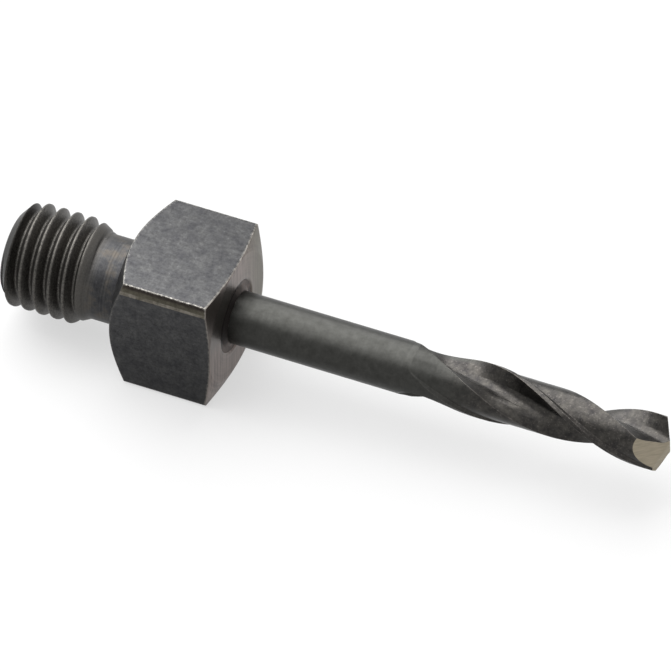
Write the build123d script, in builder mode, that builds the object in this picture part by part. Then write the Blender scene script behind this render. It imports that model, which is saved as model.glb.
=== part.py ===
from build123d import *
from math import asin, ceil, cos, degrees, radians, sin, sqrt, tan
import os

os.makedirs("parts", exist_ok=True)

# A threaded shank drill: a short twist drill brazed into a steel adapter.
# The axis lies along X and the point looks along +X. The origin is on the
# axis, in the shoulder plane where the threaded stub leaves the square body.
# Angles about the axis are counted from +Y towards +Z.

# Square body, cut from 5/16 in bar, with both ends turned
across_flats = 7.9375
body_length = 6.35
corner_break = 0.17
shoulder_chamfer_angle = 30
drill_face_chamfer_angle = 12

# One long corner is dressed to a steep bevel, a little wider at the shoulder
dressed_top_at_shoulder = 0.235
dressed_side_at_shoulder = 0.72
dressed_top_at_drill_face = 0.19
dressed_side_at_drill_face = 0.66

# Threaded stub, 1/4-28 UNF, with a relief neck against the shoulder
thread_diameter = 6.35
thread_pitch = 25.4 / 28
thread_crest_flat = thread_pitch / 8
thread_root_flat = thread_pitch / 8
thread_flank_angle = 60
thread_start_x = -8.56
thread_end_diameter = 4.8
thread_end_chamfer_angle = 52
thread_runout_angle = 28
stub_length = 7.62
neck_diameter = 5.14
neck_length = 2.1

# Blind bore for the drill's shank, with a countersunk mouth
bore_depth = 9.5
bore_point_angle = 118
braze_gap = 0.04
mouth_diameter = 4.6
mouth_angle = 90

# The braze metal sags between the mouth's edge and the shank
braze_recess = 0.06
braze_rise = 0.12
braze_sag = 0.12

# Twist drill, number 30
drill_diameter = 3.264
shank_diameter = 3.2
shank_chamfer = 0.2
protrusion = 27.12
plain_length = 10.95
margin_lead_in = 0.3
lead = 20.66

# The cutting corners stand at this angle about the axis
corner_angle = 58.4
corner_setback = 0.49

# Section of the fluted length, square to the axis
land_angle = 81.5
margin_angle = 8
margin_ramp_angle = 7
land_clearance = 0.17
web_thickness = 0.4
flute_bottom_offset = 0.24
flute_bottom_radius = 0.6
heel_bend_across = 0.18
heel_bend_height = 0.77
heel_bend_radius = 0.9

# The flutes and the land clearance fade out towards the shank
flute_runout_radius = 6
flute_runout_length = 4.25
flute_lift_angle = 103
clearance_runout_length = 2
heel_overlap_angle = 14

# Ground point
primary_relief_angle = 21
primary_relief_width = 0.5
secondary_relief_angle = 54
secondary_relief_width = 1.25
heel_relief_angle = 72
relief_blend_radius = 0.3
point_angle = 140

# Cutters reach this far past the metal that they take away
overcut = 0.35
thread_overcut = 0.05
land_overcut = 0.05

# Spacing of the sections through which a helical cutter is drawn
section_spacing = 1.6
runout_section_spacing = 0.85

# Sizes worked out from the ones above
thread_radius = thread_diameter / 2
flank_slope = tan(radians(thread_flank_angle / 2))
thread_depth = (thread_pitch - thread_crest_flat - thread_root_flat) / 2 / flank_slope
root_radius = thread_radius - thread_depth
thread_end_radius = thread_end_diameter / 2
neck_radius = neck_diameter / 2
drill_radius = drill_diameter / 2
shank_radius = shank_diameter / 2
bore_radius = shank_radius + braze_gap
mouth_radius = mouth_diameter / 2
land_radius = drill_radius - land_clearance
half_web = web_thickness / 2
inscribed_radius = across_flats / 2
bar_corner_radius = across_flats / sqrt(2)
bore_bottom_x = body_length - bore_depth
bore_point_length = bore_radius / tan(radians(bore_point_angle / 2))
mouth_bottom_x = body_length - (mouth_radius - bore_radius) / tan(radians(mouth_angle / 2))
tip_x = body_length + protrusion
corner_x = tip_x - corner_setback
margin_start_x = body_length + plain_length
flute_start_x = margin_start_x - overcut
cutter_end_x = tip_x + 3 * overcut
lip_angle = degrees(asin(half_web / drill_radius))
web_rise = half_web * tan(radians(primary_relief_angle))


def turned_profile():
    """Half profile turned on the bar: stub, neck and the two chamfered ends of the body."""
    rise = bar_corner_radius - inscribed_radius
    shoulder_cut = rise * tan(radians(shoulder_chamfer_angle))
    face_cut = rise * tan(radians(drill_face_chamfer_angle))
    outer = thread_radius + overcut
    end_cut = (outer - thread_end_radius) / tan(radians(thread_end_chamfer_angle))
    runout = (outer - neck_radius) / tan(radians(thread_runout_angle))
    Polyline(
        (-stub_length, 0),
        (-stub_length, thread_end_radius),
        (-stub_length + end_cut, outer),
        (-neck_length - runout, outer),
        (-neck_length, neck_radius),
        (0, neck_radius),
        (0, inscribed_radius),
        (shoulder_cut, bar_corner_radius),
        (body_length - face_cut, bar_corner_radius),
        (body_length, inscribed_radius),
        (body_length, 0),
        close=True,
    )


def groove_profile():
    """Section of the thread's groove, with its flat root and 60 degree flanks."""
    half_root = thread_root_flat / 2
    half_outer = half_root + (thread_depth + thread_overcut) * flank_slope
    Polyline(
        (-half_root, root_radius),
        (half_root, root_radius),
        (half_outer, thread_radius + thread_overcut),
        (-half_outer, thread_radius + thread_overcut),
        close=True,
    )


def corner_triangle(top, side):
    """The metal that dressing takes off the near top corner, seen along the axis."""
    half = across_flats / 2
    Polyline((-half, half), (-half + top, half), (-half, half - side), close=True)


def bore_profile():
    """Half profile of the blind bore, its drilled bottom and its countersunk mouth."""
    Polyline(
        (bore_bottom_x - bore_point_length, 0),
        (bore_bottom_x, bore_radius),
        (mouth_bottom_x, bore_radius),
        (body_length, mouth_radius),
        (body_length + overcut, mouth_radius),
        (body_length + overcut, 0),
        close=True,
    )


def braze_profile():
    """Half profile of the braze metal between the bore and the shank."""
    edge_x = body_length - braze_recess
    edge_radius = mouth_radius - braze_recess * tan(radians(mouth_angle / 2))
    wetted_x = body_length + braze_rise
    sag_x = (edge_x + wetted_x) / 2 - braze_sag
    sag_radius = (edge_radius + shank_radius) / 2
    Polyline(
        (wetted_x, shank_radius),
        (bore_bottom_x + shank_chamfer, shank_radius),
        (bore_bottom_x, shank_radius - shank_chamfer),
        (bore_bottom_x, 0),
        (bore_bottom_x - bore_point_length, 0),
        (bore_bottom_x, bore_radius),
        (mouth_bottom_x, bore_radius),
        (edge_x, edge_radius),
        (sag_x, sag_radius),
        close=True,
    )


def drill_profile():
    """Half profile of the drill blank, a little thicker where it has margins."""
    Polyline(
        (bore_bottom_x, 0),
        (bore_bottom_x, shank_radius - shank_chamfer),
        (bore_bottom_x + shank_chamfer, shank_radius),
        (margin_start_x, shank_radius),
        (margin_start_x + margin_lead_in, drill_radius),
        (cutter_end_x - overcut, drill_radius),
        (cutter_end_x - overcut, 0),
        close=True,
    )


def pattern_angle(x):
    """Angle about the axis of one cutting edge's corner at this distance along it."""
    return corner_angle + (x - corner_x) * 360 / lead


def section_stations(start, full, end):
    """Positions of a cutter's sections, close together where the cutter fades in."""
    fading = ceil((full - start) / runout_section_spacing)
    steady = ceil((end - full) / section_spacing)
    first = [start + (full - start) * step / fading for step in range(fading)]
    return first + [full + (end - full) * step / steady for step in range(steady + 1)]


def flute_lift(x):
    """How far the fluting cutter stands clear of its full depth, as it comes out."""
    short_of_full = max(0, flute_start_x + flute_runout_length - x)
    return short_of_full**2 / (2 * flute_runout_radius)


def section_plane(x, half_turn, lift):
    """Plane of a cutter's section, lifted outward as the cutter leaves the flute."""
    angle = radians(pattern_angle(x) + half_turn)
    lift_direction = angle + radians(flute_lift_angle)
    return Plane(
        origin=(x, lift * cos(lift_direction), lift * sin(lift_direction)),
        x_dir=(0, cos(angle), sin(angle)),
        z_dir=(1, 0, 0),
    )


def flute_section():
    """Section of one flute: straight cutting face, round bottom, bent wall to the heel."""
    lip = radians(lip_angle)
    along = (cos(lip), -sin(lip))
    foot = (half_web * sin(lip), half_web * cos(lip))
    reach = drill_radius * cos(lip) + overcut
    outside = (foot[0] + reach * along[0], foot[1] + reach * along[1])
    bottom = (foot[0] + flute_bottom_offset * along[0], foot[1] + flute_bottom_offset * along[1])
    bend = (heel_bend_across, heel_bend_height)
    heel_turn = radians(180 - land_angle)
    heel = (land_radius * cos(heel_turn), land_radius * sin(heel_turn))
    wall = sqrt((heel[0] - bend[0]) ** 2 + (heel[1] - bend[1]) ** 2)
    stretch = (wall + overcut) / wall
    past_heel = (bend[0] + (heel[0] - bend[0]) * stretch, bend[1] + (heel[1] - bend[1]) * stretch)
    FilletPolyline(
        outside,
        bottom,
        bend,
        past_heel,
        radius=[flute_bottom_radius, heel_bend_radius],
    )
    Polyline(
        past_heel,
        (heel_bend_across, drill_radius + 2 * overcut),
        (drill_radius + overcut, drill_radius + overcut),
        (drill_radius + 2 * overcut, half_web),
        outside,
    )


def clearance_section(x):
    """Ring sector that takes the land down behind its margin."""
    faded = min(1, max(0, (x - margin_start_x) / clearance_runout_length))
    inner = drill_radius + land_overcut - (land_clearance + land_overcut) * faded
    outer = 2 * drill_radius
    near = -margin_angle - margin_ramp_angle
    far = -land_angle - heel_overlap_angle
    ThreePointArc(on_circle(inner, near), on_circle(inner, (near + far) / 2), on_circle(inner, far))
    Polyline(
        on_circle(inner, far),
        on_circle(outer, far),
        on_circle(outer, near),
        on_circle(drill_radius + land_overcut, -margin_angle),
        on_circle(inner, near),
    )


def on_circle(radius, angle):
    """Point at this radius and angle from the middle of the sketch."""
    return (radius * cos(radians(angle)), radius * sin(radians(angle)))


def relief_profile():
    """Profile ground behind one lip, seen along the lip; the lip is at the first corner."""
    primary_fall = primary_relief_width * tan(radians(primary_relief_angle))
    secondary_fall = secondary_relief_width * tan(radians(secondary_relief_angle))
    front = -2 * drill_radius
    lip_x = -half_web
    first_x = lip_x + primary_relief_width
    second_x = first_x + secondary_relief_width
    end_y = -2 * drill_radius
    end_x = second_x + (-primary_fall - secondary_fall - end_y) / tan(radians(heel_relief_angle))
    FilletPolyline(
        (front, (lip_x - front) * tan(radians(primary_relief_angle))),
        (first_x, -primary_fall),
        (second_x, -primary_fall - secondary_fall),
        (end_x, end_y),
        radius=[relief_blend_radius, relief_blend_radius],
    )
    Polyline(
        (end_x, end_y),
        (2 * drill_radius, end_y),
        (2 * drill_radius, 2 * drill_radius),
        (front, 2 * drill_radius),
        (front, (lip_x - front) * tan(radians(primary_relief_angle))),
    )


with BuildPart() as threaded_adapter:
    # Thread first, on a plain cylinder that is turned to shape afterwards
    with BuildSketch(Plane.YZ.offset(-stub_length)):
        Circle(thread_radius)
    extrude(amount=stub_length)
    with BuildLine() as thread_helix:
        Helix(
            pitch=thread_pitch,
            height=-neck_length - thread_start_x,
            radius=root_radius,
            center=(thread_start_x, 0, 0),
            direction=(1, 0, 0),
        )
    with BuildSketch(Plane(origin=(thread_start_x, 0, 0), x_dir=(1, 0, 0), z_dir=(0, -1, 0))):
        with BuildLine():
            groove_profile()
        make_face()
    sweep(path=thread_helix.line, is_frenet=True, mode=Mode.SUBTRACT)

    # Square body, with broken corners and one corner dressed
    with BuildSketch(Plane.YZ):
        Rectangle(across_flats, across_flats)
    extrude(amount=body_length)
    chamfer(threaded_adapter.edges(Select.LAST).filter_by(Axis.X), length=corner_break)
    with BuildSketch(Plane.YZ):
        with BuildLine():
            corner_triangle(dressed_top_at_shoulder, dressed_side_at_shoulder)
        make_face()
    with BuildSketch(Plane.YZ.offset(body_length)):
        with BuildLine():
            corner_triangle(dressed_top_at_drill_face, dressed_side_at_drill_face)
        make_face()
    loft(mode=Mode.SUBTRACT)

    # Turned ends and neck
    with BuildSketch(Plane.XZ):
        with BuildLine():
            turned_profile()
        make_face()
    revolve(axis=Axis.X, mode=Mode.INTERSECT)

    # Bore and mouth
    with BuildSketch(Plane.XZ):
        with BuildLine():
            bore_profile()
        make_face()
    revolve(axis=Axis.X, mode=Mode.SUBTRACT)

with BuildPart() as braze_joint:
    with BuildSketch(Plane.XZ):
        with BuildLine():
            braze_profile()
        make_face()
    revolve(axis=Axis.X)

with BuildPart() as twist_drill:
    with BuildSketch(Plane.XZ):
        with BuildLine():
            drill_profile()
        make_face()
    revolve(axis=Axis.X)

    for half_turn in (0, 180):
        # Flute
        for x in section_stations(flute_start_x, flute_start_x + flute_runout_length, cutter_end_x):
            with BuildSketch(section_plane(x, half_turn, flute_lift(x))):
                with BuildLine():
                    flute_section()
                make_face()
        loft(mode=Mode.SUBTRACT)

        # Land clearance
        clearance_full_x = margin_start_x + clearance_runout_length
        for x in section_stations(margin_start_x, clearance_full_x, cutter_end_x):
            with BuildSketch(section_plane(x, half_turn, 0)):
                with BuildLine():
                    clearance_section(x)
                make_face()
        loft(mode=Mode.SUBTRACT)

        # Ground relief, swept straight along the lip
        turn = radians(corner_angle - lip_angle + half_turn)
        lip_slope = radians(point_angle / 2)
        lip_run = (-cos(lip_slope), sin(lip_slope) * cos(turn), sin(lip_slope) * sin(turn))
        point_plane = Plane(
            origin=(tip_x + web_rise, 0, 0),
            x_dir=(0, sin(turn), -cos(turn)),
            z_dir=(0, -cos(turn), -sin(turn)),
        )
        with BuildSketch(point_plane):
            with BuildLine():
                relief_profile()
            make_face()
        extrude(amount=3 * drill_radius, dir=lip_run, both=True, mode=Mode.SUBTRACT)

threaded_adapter.part.label = "threaded_adapter"
braze_joint.part.label = "braze_joint"
twist_drill.part.label = "twist_drill"

export_step(threaded_adapter.part, "parts/threaded_adapter.step")
export_step(braze_joint.part, "parts/braze_joint.step")
export_step(twist_drill.part, "parts/twist_drill.step")
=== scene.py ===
# %% [markdown]
# # A threaded shank drill bit
#
# The real thing is 41 mm long: a short twist drill brazed into a square steel adapter that screws
# into a right-angle drill head. Three imported solids already have the right shapes: the adapter, the
# drill and the braze metal between them. This lesson gives them their finishes.
#
# The model is loaded first, and the size of its box is kept.

# %% Load the imported model
import bpy
from math import pi, radians
from mathutils import Matrix, Vector


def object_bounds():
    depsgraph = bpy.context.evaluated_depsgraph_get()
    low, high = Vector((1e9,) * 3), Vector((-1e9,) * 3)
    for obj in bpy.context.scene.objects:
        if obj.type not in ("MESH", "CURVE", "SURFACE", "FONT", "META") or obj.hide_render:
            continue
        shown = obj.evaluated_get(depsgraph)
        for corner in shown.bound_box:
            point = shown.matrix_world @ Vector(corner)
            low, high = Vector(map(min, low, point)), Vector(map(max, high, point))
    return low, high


MM = 0.001

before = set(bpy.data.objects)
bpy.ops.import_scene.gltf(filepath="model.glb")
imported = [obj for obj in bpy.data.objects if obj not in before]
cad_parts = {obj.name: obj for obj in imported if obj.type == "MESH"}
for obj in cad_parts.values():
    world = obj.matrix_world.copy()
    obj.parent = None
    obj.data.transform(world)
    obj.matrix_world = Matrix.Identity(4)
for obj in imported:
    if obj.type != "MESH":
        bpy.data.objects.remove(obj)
cad_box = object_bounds()
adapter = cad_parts["threaded_adapter"]
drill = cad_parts["twist_drill"]
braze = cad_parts["braze_joint"]
print("box of the solids, mm:", [[round(v / MM, 2) for v in corner] for corner in cad_box])

# %% [markdown]
# ## The camera
#
# A small tool is photographed from a distance with a long lens, so its far end looks hardly smaller
# than its near end. The angles are those of the photograph: 23 degrees round from the front, and 45
# degrees up. The camera aims to the right of the shoulder and a little below the axis, which puts
# the whole tool in the middle of the picture.

# %% Set up the camera
CAMERA_AZIMUTH = radians(22.93)
CAMERA_ELEVATION = radians(45.143)
CAMERA_DISTANCE = 700 * MM
CAMERA_AIM_RIGHT = 11.596 * MM
CAMERA_AIM_UP = -2.868 * MM
LENS_MM = 645.0
SENSOR_MM = 36.0
NEAREST, FARTHEST = 0.01, 100

away = Vector((0, -1, 0))
away.rotate(Matrix.Rotation(-CAMERA_ELEVATION, 3, "X"))
away.rotate(Matrix.Rotation(CAMERA_AZIMUTH, 3, "Z"))
right = Vector((0, 0, 1)).cross(away).normalized()
up = away.cross(right)
eye = right * CAMERA_AIM_RIGHT + up * CAMERA_AIM_UP + away * CAMERA_DISTANCE

camera_data = bpy.data.cameras.new("camera")
camera_data.lens = LENS_MM
camera_data.sensor_width = SENSOR_MM
camera_data.clip_start, camera_data.clip_end = NEAREST, FARTHEST
camera = bpy.data.objects.new("camera", camera_data)
camera.matrix_world = Matrix.Translation(eye) @ Matrix((right, up, away)).transposed().to_4x4()
bpy.context.scene.collection.objects.link(camera)
bpy.context.scene.camera = camera
print("camera at, mm:", [round(v / MM, 1) for v in eye])

# %% [markdown]
# ## Nodes and colours
#
# Every finish below is made of shader nodes. One small function adds a node, sets its values and
# joins its sockets, so each finish reads as a list of steps. Colours are picked on screen as sRGB
# hex values, and a shader wants linear light, so a second function converts them. A third starts an
# empty material.

# %% Three helpers for finishes
def add(tree, kind, sockets=(), **settings):
    """Adds a node. Each socket is given a value, or the node or the output that feeds it."""
    node = tree.nodes.new("ShaderNode" + kind)
    for name, value in settings.items():
        setattr(node, name, value)
    shown = [socket for socket in node.inputs if socket.enabled]
    for key, value in sockets.items() if isinstance(sockets, dict) else enumerate(sockets):
        socket = shown[key] if isinstance(key, int) else next(s for s in shown if s.name == key)
        if isinstance(value, bpy.types.Node):
            value = next(output for output in value.outputs if output.enabled)
        if isinstance(value, bpy.types.NodeSocket):
            tree.links.new(value, socket)
        else:
            socket.default_value = value
    return node


def linear(hex_colour):
    """Linear red, green, blue and alpha of an sRGB colour such as #808080."""
    parts = [int(hex_colour[i:i + 2], 16) / 255 for i in (1, 3, 5)]
    return [p / 12.92 if p <= 0.04045 else ((p + 0.055) / 1.055) ** 2.4 for p in parts] + [1]


def new_material(name):
    """Makes an empty material and returns it with its node tree."""
    material = bpy.data.materials.new(name)
    material.use_nodes = True
    material.node_tree.nodes.clear()
    return material, material.node_tree


print("mid grey, linear:", [round(v, 3) for v in linear("#808080")])

# %% [markdown]
# ## The floor
#
# The tool lies on a sheet of pale matt paper, which keeps its soft shadow. A glow that only the
# camera and mirror-like surfaces see lifts the sheet to white, as in a studio picture with a white
# background. The glow lights nothing.

# %% Lay down the floor
FLOOR_HALF_SIZE = 3.0
PAPER_GLOW = 0.6
WHITE = (1, 1, 1, 1)
floor_height = cad_box[0][2]


def background_rays(tree):
    """Gives 1 for a ray that shows the background, from the camera or off metal, and else 0."""
    light_path = add(tree, "LightPath")
    camera_ray, glossy_ray, through_ray = [
        light_path.outputs["Is " + kind + " Ray"] for kind in ("Camera", "Glossy", "Transmission")]
    shown = add(tree, "Math", [camera_ray, glossy_ray], operation="MAXIMUM")
    return add(tree, "Math", [shown, through_ray], operation="MAXIMUM")


floor_mesh = bpy.data.meshes.new("floor")
corners = [(x * FLOOR_HALF_SIZE, y * FLOOR_HALF_SIZE, floor_height)
           for x, y in [(-1, -1), (1, -1), (1, 1), (-1, 1)]]
floor_mesh.from_pydata(corners, [], [(0, 1, 2, 3)])
floor = bpy.data.objects.new("floor", floor_mesh)
bpy.context.scene.collection.objects.link(floor)

paper, tree = new_material("pale_matt_paper")
glow = add(tree, "Math", [background_rays(tree), PAPER_GLOW], operation="MULTIPLY")
matt = add(tree, "BsdfDiffuse", {"Color": linear("#8A8A8A")})
shine = add(tree, "Emission", {"Color": WHITE, "Strength": glow})
both = add(tree, "AddShader", [matt, shine])
add(tree, "OutputMaterial", {"Surface": both})
floor_mesh.materials.append(paper)
print("floor at z, mm:", round(floor_height / MM, 3))

# %% [markdown]
# ## The light
#
# Steel looks like what it mirrors. One large softbox behind and to the left gives the broad light
# band along the shank and the grey of the top flat, and a smaller one nearly overhead softens the
# band's front edge. The front flat mirrors the paper, so it stays almost black. The world fills the
# shadows a little, and looks white to the camera and in the metal.

# %% Light the studio
SKY_LIGHT = 0.3
SKY_SEEN = 1.0


def softbox(name, direction, distance, width, height, radiance):
    """A soft rectangular lamp that faces the object. Radiance is how bright its face looks."""
    lamp = bpy.data.lights.new(name, "AREA")
    lamp.shape = "RECTANGLE"
    lamp.size = width
    lamp.size_y = height
    lamp.energy = radiance * pi * width * height
    holder = bpy.data.objects.new(name, lamp)
    pointing = Vector(direction).normalized()
    holder.location = pointing * distance
    holder.rotation_euler = pointing.to_track_quat("Z", "Y").to_euler()
    holder.visible_camera = False
    bpy.context.scene.collection.objects.link(holder)


softbox("back_bank", (-0.5, 0.4, 0.77), distance=1.0, width=1.4, height=1.4, radiance=4.6)
softbox("top_bank", (-0.15, -0.4, 0.9), distance=1.0, width=0.6, height=0.6, radiance=2.3)

world = bpy.data.worlds.new("studio")
world.use_nodes = True
tree = world.node_tree
tree.nodes.clear()
strength = add(tree, "MapRange", {
    "Value": background_rays(tree), "To Min": SKY_LIGHT, "To Max": SKY_SEEN})
sky = add(tree, "Background", {"Color": WHITE, "Strength": strength})
add(tree, "OutputWorld", {"Surface": sky})
bpy.context.scene.world = world
bpy.context.scene.view_settings.view_transform = "Standard"

# %% [markdown]
# ## What every steel finish needs to know
#
# The patterns below follow the real tool, so they are worked out from the place on it, in
# millimetres: how far along the axis, how far from the axis, and which way the surface faces. A
# bevel node rounds the normal near a sharp edge. Where that differs from the plain normal there is
# an edge, and that is where the black oxide wears off first. The rounded normal is used for the
# shading too, because a real edge is never quite sharp and catches the light.

# %% Measure the surface inside a finish
FLAT_AGREEMENT = 0.985  # cosine between rounded and plain normal where an edge begins
EDGE_AGREEMENT = 0.86  # and where it is an edge in full
PICTURE_WIDTH = 671


def surface_facts(tree, edge_width):
    """Adds the nodes that measure the surface, and returns their outputs by name."""
    texture_place = add(tree, "TexCoord").outputs["Object"]
    place = add(tree, "VectorMath", {"Vector": texture_place, "Scale": 1 / MM}, operation="SCALE")
    axes = add(tree, "SeparateXYZ", [place])
    across = add(tree, "VectorMath", [place, (0, 1, 1)], operation="MULTIPLY")
    radius = add(tree, "VectorMath", [across], operation="LENGTH")
    geometry = add(tree, "NewGeometry")
    facing = add(tree, "SeparateXYZ", [geometry.outputs["True Normal"]])
    rounded = add(tree, "Bevel", {"Radius": edge_width}, samples=8)
    rounded_axes = add(tree, "SeparateXYZ", [rounded])
    agreement = add(tree, "VectorMath", [rounded, geometry.outputs["Normal"]],
                    operation="DOT_PRODUCT")
    edge = add(tree, "MapRange", {
        "Value": agreement, "From Min": FLAT_AGREEMENT, "From Max": EDGE_AGREEMENT})
    return {
        "place": place, "x": axes.outputs["X"], "y": axes.outputs["Y"], "z": axes.outputs["Z"],
        "across": across, "radius": radius,
        "normal_x": facing.outputs["X"], "normal_y": facing.outputs["Y"],
        "normal_z": facing.outputs["Z"],
        "edge": edge, "rounded": rounded, "rounded_x": rounded_axes.outputs["X"]}


pixel = CAMERA_DISTANCE * SENSOR_MM / LENS_MM / PICTURE_WIDTH
print("a pixel of the picture is", round(pixel / MM, 3), "mm wide on the tool")

# %% [markdown]
# ## Black oxide on the adapter
#
# The adapter is turned from square steel bar and blackened in a hot salt bath. The oxide is part of
# the steel and very thin, so it keeps the grain of the bar and the marks of the tools. It is nearly
# black, because it reflects only about a twentieth of the light, and it is patchy, with pale specks
# where it didn't take. The grain of the drawn bar is finer than a pixel, so it is drawn at 0.09 mm,
# with streaks along the bar.
#
# The oxide is painted lighter towards the dressed corner and darker towards the end that holds the
# drill: a painted light gradient across the top flat, the way the light falls off over it.

# %% Oxide colour of the adapter
PATCH_MM = 0.8
MOTTLE_MM = 0.22
GRAIN_MM = 0.09
STREAK_MM = 0.12
SHOULDER_MM = -0.05  # a hair behind the shoulder, which is at x = 0
BODY_END_MM = 6.3
DRESSED_CORNER_MM = (0, -3.97, 3.97)
NOISE_SPAN = {"From Min": 0.3, "From Max": 0.7}  # nearly all values of a noise lie in here

black_oxide, tree = new_material("black_oxide_on_turned_steel")
here = surface_facts(tree, 0.2 * MM)

patches = add(tree, "TexNoise", {
    "Vector": here["place"], "Scale": 1 / PATCH_MM, "Detail": 5.0, "Roughness": 0.62})
mottle = add(tree, "TexNoise", {
    "Vector": here["place"], "Scale": 1 / MOTTLE_MM, "Detail": 3.0, "Roughness": 0.6})
grain = add(tree, "TexNoise", {"Vector": here["place"], "Scale": 1 / GRAIN_MM, "Detail": 2.0})
drawn_out = add(tree, "VectorMath", [here["place"], (0.08, 1, 1)], operation="MULTIPLY")
streaks = add(tree, "TexNoise", {"Vector": drawn_out, "Scale": 1 / STREAK_MM, "Detail": 2.0})

patchy = add(tree, "MapRange", {"Value": patches, **NOISE_SPAN})
oxide = add(tree, "Mix", {
    "Factor": patchy, "A": linear("#2E2E30"), "B": linear("#434343")}, data_type="RGBA")

fine = add(tree, "Math", [streaks, 0.5, grain], operation="MULTIPLY_ADD")
mottle_and_painted_light = add(tree, "Math", [fine, 0.5, mottle], operation="MULTIPLY_ADD")
mottle_and_painted_light = add(tree, "MapRange", {
    "Value": mottle_and_painted_light, "From Min": 0.55, "From Max": 1.2, "To Min": 0.6, "To Max": 1.4})
turned_part = add(tree, "MapRange", {
    "Value": here["x"], "From Min": SHOULDER_MM + 0.03, "From Max": SHOULDER_MM - 0.03,
    "To Max": 0.4})
mottle_and_painted_light = add(tree, "Mix", {"Factor": turned_part, "A": mottle_and_painted_light, "B": 1.0}, data_type="FLOAT")

# Painted light: lighter towards the dressed corner, darker towards the drill end, as the light falls
# across the top flat. The random mottle carries it from here on.
corner_away = add(tree, "VectorMath", [here["across"], DRESSED_CORNER_MM], operation="DISTANCE")
painted_light_falloff = add(tree, "MapRange", {
    "Value": corner_away, "From Min": 0.0, "From Max": 7.0, "To Min": 1.12, "To Max": 0.8})
painted_shade_to_drill_end = add(tree, "MapRange", {
    "Value": here["x"], "From Min": 0.0, "From Max": BODY_END_MM, "To Min": 1.06, "To Max": 0.9})
mottle_and_painted_light = add(tree, "Math", [mottle_and_painted_light, painted_light_falloff], operation="MULTIPLY")
mottle_and_painted_light = add(tree, "Math", [mottle_and_painted_light, painted_shade_to_drill_end], operation="MULTIPLY")
oxide = add(tree, "VectorMath", {0: oxide, "Scale": mottle_and_painted_light}, operation="SCALE")

speck = add(tree, "MapRange", {
    "Value": mottle, "From Min": 0.68, "From Max": 0.74, "To Max": 0.12})
oxide = add(tree, "Mix", {"Factor": speck, "A": oxide, "B": linear("#7D7D7B")}, data_type="RGBA")
print("oxide patches", PATCH_MM, "mm, mottle", MOTTLE_MM, "mm, grain", GRAIN_MM, "mm")

# %% [markdown]
# ### Thread and neck
#
# The oxide of the thread is slightly brown and gritty, from old oil and dirt that stay in the
# groove. It is calmer on the end face and on the run-out, and darkest on the first turn. The neck
# has brown traces, and it keeps the fine rings of the turning tool. They are finer than a pixel, so
# they are drawn 0.1 mm apart.

# %% Thread and neck
THREAD_ENDS_MM = -2.1
RUN_OUT_MM = -3.0
FIRST_TURN_MM = -6.75
TURNING_MM = 0.1

in_stub = add(tree, "MapRange", {
    "Value": here["x"], "From Min": THREAD_ENDS_MM + 0.4, "From Max": THREAD_ENDS_MM - 0.5})
on_turning = add(tree, "Math", [here["x"], SHOULDER_MM], operation="LESS_THAN")
gritty = add(tree, "MapRange", {"Value": grain, **NOISE_SPAN, "To Min": 0.45, "To Max": 1.5})
back_end = add(tree, "MapRange", {
    "Value": here["normal_x"], "From Min": -0.9, "From Max": -0.97, "To Max": 0.8})
run_out = add(tree, "MapRange", {
    "Value": here["x"], "From Min": RUN_OUT_MM - 0.3, "From Max": RUN_OUT_MM + 0.3,
    "To Max": 0.75})
calm = add(tree, "Math", [back_end, run_out], operation="MAXIMUM")
gritty = add(tree, "Mix", {"Factor": calm, "A": gritty, "B": 1.0}, data_type="FLOAT")
first_turn = add(tree, "MapRange", {
    "Value": here["x"], "From Min": FIRST_TURN_MM, "From Max": FIRST_TURN_MM - 0.25,
    "To Min": 1.0, "To Max": 0.32})
gritty = add(tree, "Math", [gritty, first_turn], operation="MULTIPLY")
oily = add(tree, "VectorMath", {0: linear("#4D4B48")[:3], "Scale": gritty}, operation="SCALE")

browned = add(tree, "MapRange", {
    "Value": patches, "From Min": 0.48, "From Max": 0.66, "To Max": 0.6})
browned = add(tree, "Math", [browned, on_turning], operation="MULTIPLY")
oxide = add(tree, "Mix", {"Factor": browned, "A": oxide, "B": linear("#4A443D")}, data_type="RGBA")
oxide = add(tree, "Mix", {"Factor": in_stub, "A": oxide, "B": oily}, data_type="RGBA")

along = add(tree, "Math", [here["x"], here["radius"]], operation="ADD")
turned = add(tree, "TexNoise", {
    "W": along, "Scale": 1 / TURNING_MM, "Detail": 2.0}, noise_dimensions="1D")
turned = add(tree, "MapRange", {"Value": turned, **NOISE_SPAN, "To Min": 0.85, "To Max": 1.15})
turned = add(tree, "Mix", {"Factor": on_turning, "A": 1.0, "B": turned}, data_type="FLOAT")
oxide = add(tree, "VectorMath", {0: oxide, "Scale": turned}, operation="SCALE")
print("turning rings", TURNING_MM, "mm apart")

# %% [markdown]
# ### The faced end
#
# The end round the drill was faced after blackening and only lightly tinted by the heat of the
# brazing, so it is bare steel with a warm, slightly pink cast and straw to the right. Next to the
# drill it has painted shade where the dark shank is mirrored in the face, and a ring of painted
# contact shade round the mouth. Facing leaves faint rings, and cleaning on a stone leaves upright
# scratches. Both are finer than a pixel, so they are drawn coarser.

# %% Faced end
RING_MM = 0.16
SCRATCH_MM = 0.13
FACE_FROM_MM = 4.0
STRAW_FROM_MM, STRAW_FULL_MM = 0.8, 3.2
SHANK_MIRROR_CENTRE_MM = (0, -2.4, 2.1)
SHANK_MIRROR_INNER_MM, SHANK_MIRROR_OUTER_MM = 2.5, 3.4
CONTACT_SHADE_INNER_MM, CONTACT_SHADE_OUTER_MM = 2.9, 3.7

rings = add(tree, "TexNoise", {
    "W": here["radius"], "Scale": 1 / RING_MM, "Detail": 3.0}, noise_dimensions="1D")
upright = add(tree, "VectorMath", [here["place"], (1, 1, 0.05)], operation="MULTIPLY")
scratches = add(tree, "TexNoise", {"Vector": upright, "Scale": 1 / SCRATCH_MM, "Detail": 3.0})
marks = add(tree, "Math", [rings, 0.3, scratches], operation="MULTIPLY_ADD")
marked = add(tree, "MapRange", {"Value": marks, "From Min": 0.48, "From Max": 0.8})

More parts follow.
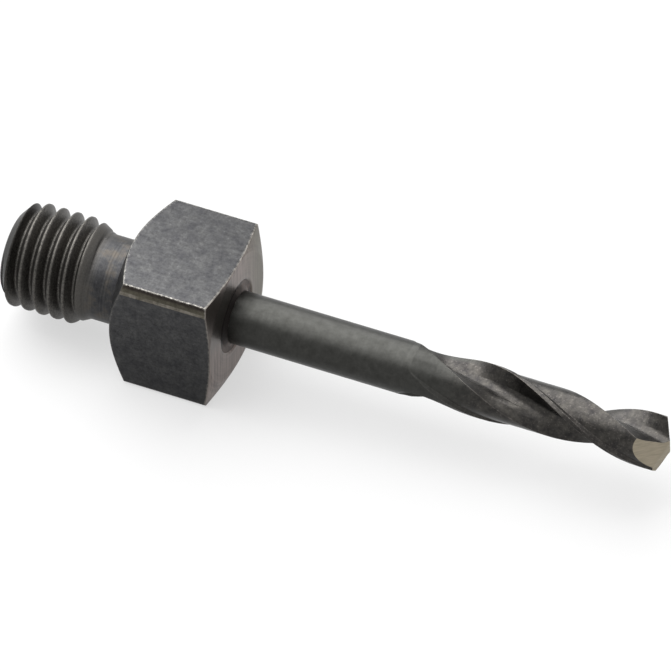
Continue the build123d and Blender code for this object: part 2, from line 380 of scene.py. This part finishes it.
pink = add(tree, "Mix", {
    "Factor": marked, "A": linear("#4D423E"), "B": linear("#796D67")}, data_type="RGBA")
straw = add(tree, "Mix", {
    "Factor": marked, "A": linear("#444036"), "B": linear("#514D3F")}, data_type="RGBA")
to_right = add(tree, "MapRange", {
    "Value": here["y"], "From Min": STRAW_FROM_MM, "From Max": STRAW_FULL_MM, "To Max": 0.9})
faced = add(tree, "Mix", {"Factor": to_right, "A": pink, "B": straw}, data_type="RGBA")

# Painted shade: greyer and darker where the dark shank is mirrored in the faced end, plus a ring of
# painted contact shade round the mouth.
shank_mirror_away = add(tree, "VectorMath", [here["across"], SHANK_MIRROR_CENTRE_MM], operation="DISTANCE")
shank_mirror_away = add(tree, "Math", [patches, 1.6, shank_mirror_away], operation="MULTIPLY_ADD")
painted_shade = add(tree, "MapRange", {
    "Value": shank_mirror_away, "From Min": SHANK_MIRROR_INNER_MM, "From Max": SHANK_MIRROR_OUTER_MM,
    "To Min": 0.95, "To Max": 0.0})
contact_shade_away = add(tree, "Math", [patches, 1.6, here["radius"]], operation="MULTIPLY_ADD")
painted_contact_shade = add(tree, "MapRange", {
    "Value": contact_shade_away, "From Min": CONTACT_SHADE_INNER_MM, "From Max": CONTACT_SHADE_OUTER_MM,
    "To Min": 0.5, "To Max": 0.0})
painted_shade = add(tree, "Math", [painted_shade, painted_contact_shade], operation="MAXIMUM")
faced = add(tree, "Mix", {"Factor": painted_shade, "A": faced, "B": linear("#5D5753")}, data_type="RGBA")

faces_front = add(tree, "MapRange", {"Value": here["normal_x"], "From Min": 0.6, "From Max": 0.7})
past_body = add(tree, "Math", [here["x"], FACE_FROM_MM], operation="GREATER_THAN")
on_face = add(tree, "Math", [faces_front, past_body], operation="MULTIPLY")
colour = add(tree, "Mix", {"Factor": on_face, "A": oxide, "B": faced}, data_type="RGBA")
print("facing rings", RING_MM, "mm, scratches", SCRATCH_MM, "mm")

# %% [markdown]
# ### Wear
#
# The crests of the thread are rubbed grey, and the oxide is gone from the edges of the body: most
# of all along the dressed corner and round the faced end, least at the back. Bare steel is far
# lighter than the oxide, so even a thin line shows. Near the top the bare edges are painted lighter
# still, a painted highlight where they face the lamp. Real wear comes in beads and gaps, so noise
# breaks each line up, and there is one deeper nick where the dressed corner meets the faced end.

# %% Wear on crests and edges
CREST_FROM_MM, CREST_TOP_MM = 3.13, 3.172
MOUTH_MM = 3.0  # nearer to the axis than this nothing rubs
NICK_MM = (6.3, -3.25, 3.95)

flaking = add(tree, "MapRange", {"Value": mottle, "From Min": 0.4, "From Max": 0.58})
crest = add(tree, "MapRange", {
    "Value": here["radius"], "From Min": CREST_FROM_MM, "From Max": CREST_TOP_MM, "To Max": 0.13})
crest = add(tree, "Math", [crest, in_stub], operation="MULTIPLY")
crest = add(tree, "Math", [crest, flaking], operation="MULTIPLY")

nick = add(tree, "VectorMath", [here["place"], NICK_MM], operation="DISTANCE")
nick = add(tree, "MapRange", {
    "Value": nick, "From Min": 0.25, "From Max": 0.8, "To Min": 1.0, "To Max": 0.0})
nick = add(tree, "Math", [nick, here["edge"]], operation="MULTIPLY")
ragged = add(tree, "Math", [mottle, 1.8, -0.9], operation="MULTIPLY_ADD")
ragged = add(tree, "Math", [here["edge"], ragged], operation="ADD")
ragged = add(tree, "Math", [ragged, nick], operation="ADD")
rubbed = add(tree, "MapRange", {"Value": ragged, "From Min": 0.12, "From Max": 0.5})

at_edge = add(tree, "MapRange", {"Value": here["edge"], "From Max": 0.15})
on_body = add(tree, "Math", [here["x"], SHOULDER_MM], operation="GREATER_THAN")
outside = add(tree, "Math", [here["radius"], MOUTH_MM], operation="GREATER_THAN")
tilt = add(tree, "Math", [here["rounded_x"]], operation="ABSOLUTE")
lengthwise = add(tree, "MapRange", {
    "Value": tilt, "From Min": 0.08, "From Max": 0.3, "To Min": 0.85, "To Max": 0.4})
front_arc = add(tree, "MapRange", {
    "Value": here["rounded_x"], "From Min": 0.1, "From Max": 0.3, "To Max": 0.85})
share = add(tree, "Math", [lengthwise, front_arc], operation="MAXIMUM")
share = add(tree, "Math", [share, nick], operation="MAXIMUM")
beads = add(tree, "MapRange", {
    "Value": mottle, "From Min": 0.4, "From Max": 0.6, "To Min": 0.45})
beads = add(tree, "Math", [beads, nick], operation="MAXIMUM")
for limit in (at_edge, on_body, outside, share, beads):
    rubbed = add(tree, "Math", [rubbed, limit], operation="MULTIPLY")
worn = add(tree, "Math", [crest, rubbed], operation="MAXIMUM")

# Painted highlight: bare edges high on the body, the nick among them, are painted much lighter than
# lower ones.
painted_top_highlight = add(tree, "MapRange", {"Value": here["z"], "From Min": 3.3, "From Max": 3.9})
bare_steel_and_top_highlight = add(tree, "Mix", {
    "Factor": painted_top_highlight, "A": linear("#76726D"), "B": linear("#B2AEA7")}, data_type="RGBA")
colour = add(tree, "Mix", {"Factor": worn, "A": colour, "B": bare_steel_and_top_highlight}, data_type="RGBA")
print("the nick is at, mm:", NICK_MM)

# %% [markdown]
# ### The filed corner
#
# The dressed corner was filed by hand, so it has no oxide of its own. Old oil has left it brown:
# dark at its top, lighter below, and paler again in patches along its foot. It is found by the way
# it faces, almost to the front and a little up.

# %% Filed corner
FILED_MIDDLE_MM = (3.78, 3.66)
FILED_FOOT_MM = (3.5, 3.44)

faces_us = add(tree, "Math", [here["normal_y"], -0.9], operation="LESS_THAN")
tilted = add(tree, "Math", [here["normal_z"], 0.2], operation="GREATER_THAN")
filed = add(tree, "Math", [faces_us, tilted], operation="MULTIPLY")
filed = add(tree, "Math", [filed, on_body], operation="MULTIPLY")
unworn = add(tree, "Math", [1.0, worn], operation="SUBTRACT")
filed = add(tree, "Math", [filed, unworn], operation="MULTIPLY")

lower = add(tree, "MapRange", {
    "Value": here["z"], "From Min": FILED_MIDDLE_MM[0], "From Max": FILED_MIDDLE_MM[1]})
brown = add(tree, "Mix", {
    "Factor": lower, "A": linear("#2E2A27"), "B": linear("#45423A")}, data_type="RGBA")
foot = add(tree, "MapRange", {
    "Value": here["z"], "From Min": FILED_FOOT_MM[0], "From Max": FILED_FOOT_MM[1]})
foot = add(tree, "Math", [foot, patchy], operation="MULTIPLY")
brown = add(tree, "Mix", {"Factor": foot, "A": brown, "B": linear("#76716A")}, data_type="RGBA")
brown = add(tree, "VectorMath", {0: brown, "Scale": mottle_and_painted_light}, operation="SCALE")
colour = add(tree, "Mix", {"Factor": filed, "A": colour, "B": brown}, data_type="RGBA")
print("nodes so far:", len(tree.nodes))

# %% [markdown]
# ### Gloss and relief of the adapter
#
# Black oxide on machined steel is satin, so its roughness is near 0.4 and changes with the patches.
# The faced end is the smoothest face and mirrors the dark shank. The relief is a few thousandths of
# a millimetre deep and uses the same patterns as the colour: grain and pits on the oxide, rings and
# scratches on the faced end. All of it is metal, so metallic is 1 and the IOR stays as it is.

# %% Gloss and relief of the adapter
FACED_ROUGHNESS = 0.34
PIT_DEPTH = 0.003 * MM

satin = add(tree, "MapRange", {"Value": patches, "To Min": 0.38, "To Max": 0.5})
roughness = add(tree, "Mix", {
    "Factor": on_face, "A": satin, "B": FACED_ROUGHNESS}, data_type="FLOAT")
pits = add(tree, "Math", [grain, mottle], operation="ADD")
pits = add(tree, "Mix", {"Factor": on_face, "A": pits, "B": marks}, data_type="FLOAT")
relief = add(tree, "Bump", {
    "Height": pits, "Distance": PIT_DEPTH, "Strength": 0.6, "Normal": here["rounded"]})
surface = add(tree, "BsdfPrincipled", {
    "Base Color": colour, "Metallic": 1.0, "Roughness": roughness, "Normal": relief})
add(tree, "OutputMaterial", {"Surface": surface})
adapter.data.materials.clear()
adapter.data.materials.append(black_oxide)
print("adapter finish:", len(tree.nodes), "nodes")

# %% [markdown]
# ## Oxide on the drill
#
# The drill is high speed steel, ground and then blackened in steam. The shank is smooth, with a
# fine mottle and faint lines round it from the grinding wheel. The lines are far finer than a
# pixel, so they are drawn 0.12 mm apart and very weak. The flutes and the lands are blotched, with
# a faint warm tint from the heat and a few pale sparks.

# %% Oxide colour of the drill
SHANK_ENDS_MM = 17.3
FLUTE_EDGE_MM, FLUTE_INSIDE_MM = 1.44, 1.34
WHEEL_LINE_MM = 0.12
HEAT_PATCH_MM = 0.5
BLOTCH_MM = 0.16
SPARK_MM = 0.1

steam_oxide, tree = new_material("steam_oxide_on_high_speed_steel")
here = surface_facts(tree, 0.05 * MM)
patches = add(tree, "TexNoise", {
    "Vector": here["place"], "Scale": 1 / HEAT_PATCH_MM, "Detail": 4.0, "Roughness": 0.6})
patchy = add(tree, "MapRange", {"Value": patches, **NOISE_SPAN})
blotches = add(tree, "TexNoise", {
    "Vector": here["place"], "Scale": 1 / BLOTCH_MM, "Detail": 3.0, "Roughness": 0.6})

plain = add(tree, "Mix", {
    "Factor": patchy, "A": linear("#323230"), "B": linear("#3C3C3A")}, data_type="RGBA")
lines = add(tree, "TexNoise", {
    "W": here["x"], "Scale": 1 / WHEEL_LINE_MM, "Detail": 3.0}, noise_dimensions="1D")
lined = add(tree, "MapRange", {"Value": lines, **NOISE_SPAN, "To Min": 0.97, "To Max": 1.03})
grainy = add(tree, "MapRange", {"Value": blotches, **NOISE_SPAN, "To Min": 0.92, "To Max": 1.08})
lined = add(tree, "Math", [lined, grainy], operation="MULTIPLY")
plain = add(tree, "VectorMath", {0: plain, "Scale": lined}, operation="SCALE")

heated = add(tree, "Mix", {
    "Factor": patchy, "A": linear("#282727"), "B": linear("#403E3B")}, data_type="RGBA")
blotchy = add(tree, "MapRange", {"Value": blotches, **NOISE_SPAN, "To Min": 0.82, "To Max": 1.18})
heated = add(tree, "VectorMath", {0: heated, "Scale": blotchy}, operation="SCALE")
sparks = add(tree, "TexNoise", {"Vector": here["place"], "Scale": 1 / SPARK_MM, "Detail": 1.0})
sparks = add(tree, "MapRange", {
    "Value": sparks, "From Min": 0.62, "From Max": 0.72, "To Max": 0.13})
heated = add(tree, "Mix", {"Factor": sparks, "A": heated, "B": linear("#918A86")}, data_type="RGBA")

ahead = add(tree, "MapRange", {
    "Value": here["x"], "From Min": SHANK_ENDS_MM + 2.0, "From Max": SHANK_ENDS_MM + 5.5})
in_flute = add(tree, "MapRange", {
    "Value": here["radius"], "From Min": FLUTE_EDGE_MM, "From Max": FLUTE_INSIDE_MM})
past_shank = add(tree, "Math", [here["x"], SHANK_ENDS_MM - 1.0], operation="GREATER_THAN")
in_flute = add(tree, "Math", [in_flute, past_shank], operation="MULTIPLY")
cut = add(tree, "Math", [ahead, in_flute], operation="MAXIMUM")
oxide = add(tree, "Mix", {"Factor": cut, "A": plain, "B": heated}, data_type="RGBA")
print("heat patches", HEAT_PATCH_MM, "mm, blotches", BLOTCH_MM, "mm")

# %% [markdown]
# ### Ground point and rubbed edges
#
# The point was ground last, so it is bare: a warm straw grey with the grinding wheel's streaks
# across each flank, from the lip to the heel. The streaks of a real wheel are finer than a pixel,
# so they are drawn 0.09 mm wide. The lips and the edges of the lands are rubbed bare in places.

# %% Bare point and edges
POINT_FROM_MM = 31.5
GRIND_MM = 0.09

at_point = add(tree, "Math", [here["x"], POINT_FROM_MM], operation="GREATER_THAN")
flank = add(tree, "MapRange", {"Value": here["normal_x"], "From Min": 0.46, "From Max": 0.52})
bare = add(tree, "Math", [at_point, flank], operation="MULTIPLY")
swept = add(tree, "VectorMath", [here["place"], (0.1, 0.15, 1)], operation="MULTIPLY")
streaks = add(tree, "TexNoise", {"Vector": swept, "Scale": 1 / GRIND_MM, "Detail": 2.0})
streaky = add(tree, "MapRange", {"Value": streaks, **NOISE_SPAN})
straw = add(tree, "Mix", {
    "Factor": streaky, "A": linear("#817A6B"), "B": linear("#938A7A")}, data_type="RGBA")
colour = add(tree, "Mix", {"Factor": bare, "A": oxide, "B": straw}, data_type="RGBA")

chipped = add(tree, "MapRange", {
    "Value": blotches, "From Min": 0.36, "From Max": 0.6, "To Min": 0.1, "To Max": 0.5})
used = add(tree, "MapRange", {
    "Value": here["x"], "From Min": SHANK_ENDS_MM, "From Max": SHANK_ENDS_MM + 2.0})
rubbed = add(tree, "Math", [here["edge"], chipped], operation="MULTIPLY")
rubbed = add(tree, "Math", [rubbed, used], operation="MULTIPLY")
colour = add(tree, "Mix", {"Factor": rubbed, "A": colour, "B": linear("#87817B")}, data_type="RGBA")
print("grinding streaks", GRIND_MM, "mm")

# %% [markdown]
# ### Gloss and relief of the drill
#
# Steam oxide over a ground bar is satin too. Flutes are ground smooth so that chips slide out, so
# they are a little glossier than the shank, and their blotches stand out as relief.

# %% Gloss and relief of the drill
SHANK_ROUGHNESS = 0.38
POINT_ROUGHNESS = 0.34
BLOTCH_DEPTH = 0.004 * MM

polished = add(tree, "MapRange", {"Value": patches, "To Min": 0.25, "To Max": 0.38})
roughness = add(tree, "Mix", {
    "Factor": cut, "A": SHANK_ROUGHNESS, "B": polished}, data_type="FLOAT")
roughness = add(tree, "Mix", {
    "Factor": bare, "A": roughness, "B": POINT_ROUGHNESS}, data_type="FLOAT")
pits = add(tree, "Math", [blotches, cut], operation="MULTIPLY")
relief = add(tree, "Bump", {
    "Height": pits, "Distance": BLOTCH_DEPTH, "Strength": 0.6, "Normal": here["rounded"]})
surface = add(tree, "BsdfPrincipled", {
    "Base Color": colour, "Metallic": 1.0, "Roughness": roughness, "Normal": relief})
add(tree, "OutputMaterial", {"Surface": surface})
drill.data.materials.clear()
drill.data.materials.append(steam_oxide)
print("drill finish:", len(tree.nodes), "nodes")

# %% [markdown]
# ## The braze metal
#
# A ring of silver solder holds the drill. The flux has left it dull and brown-black, with the
# shallow ripples of metal that has run and set. On the same side as the faced end's painted shade
# it is painted near black, a painted shade where the dark shank is mirrored. The wiped rim shows a
# little of the solder.

# %% Finish the braze metal
STAIN_MM = 0.5
RIPPLE_DEPTH = 0.02 * MM

solder, tree = new_material("flux_stained_silver_solder")
here = surface_facts(tree, 0.03 * MM)
stains = add(tree, "TexNoise", {"Vector": here["place"], "Scale": 1 / STAIN_MM, "Detail": 4.0})
spread = add(tree, "MapRange", {"Value": stains, "From Min": 0.35, "From Max": 0.65})
colour = add(tree, "Mix", {
    "Factor": spread, "A": linear("#302927"), "B": linear("#5F534E")}, data_type="RGBA")
# Painted shade: the solder is painted near black on the side where the dark shank is mirrored in the
# faced end.
shank_mirror_away = add(tree, "VectorMath", [here["across"], SHANK_MIRROR_CENTRE_MM], operation="DISTANCE")
painted_shade = add(tree, "MapRange", {
    "Value": shank_mirror_away, "From Min": 2.3, "From Max": 3.6, "To Min": 0.95, "To Max": 0.0})
colour = add(tree, "Mix", {"Factor": painted_shade, "A": colour, "B": linear("#1F1D1C")}, data_type="RGBA")
wiped = add(tree, "Math", [spread, 0.4], operation="MULTIPLY")
wiped = add(tree, "Math", [here["edge"], wiped], operation="MULTIPLY")
colour = add(tree, "Mix", {"Factor": wiped, "A": colour, "B": linear("#8A8076")}, data_type="RGBA")

roughness = add(tree, "MapRange", {"Value": stains, "To Min": 0.4, "To Max": 0.6})
relief = add(tree, "Bump", {
    "Height": stains, "Distance": RIPPLE_DEPTH, "Strength": 0.6, "Normal": here["rounded"]})
surface = add(tree, "BsdfPrincipled", {
    "Base Color": colour, "Metallic": 1.0, "Roughness": roughness, "Normal": relief})
add(tree, "OutputMaterial", {"Surface": surface})
braze.data.materials.clear()
braze.data.materials.append(solder)
print("braze finish:", len(tree.nodes), "nodes")
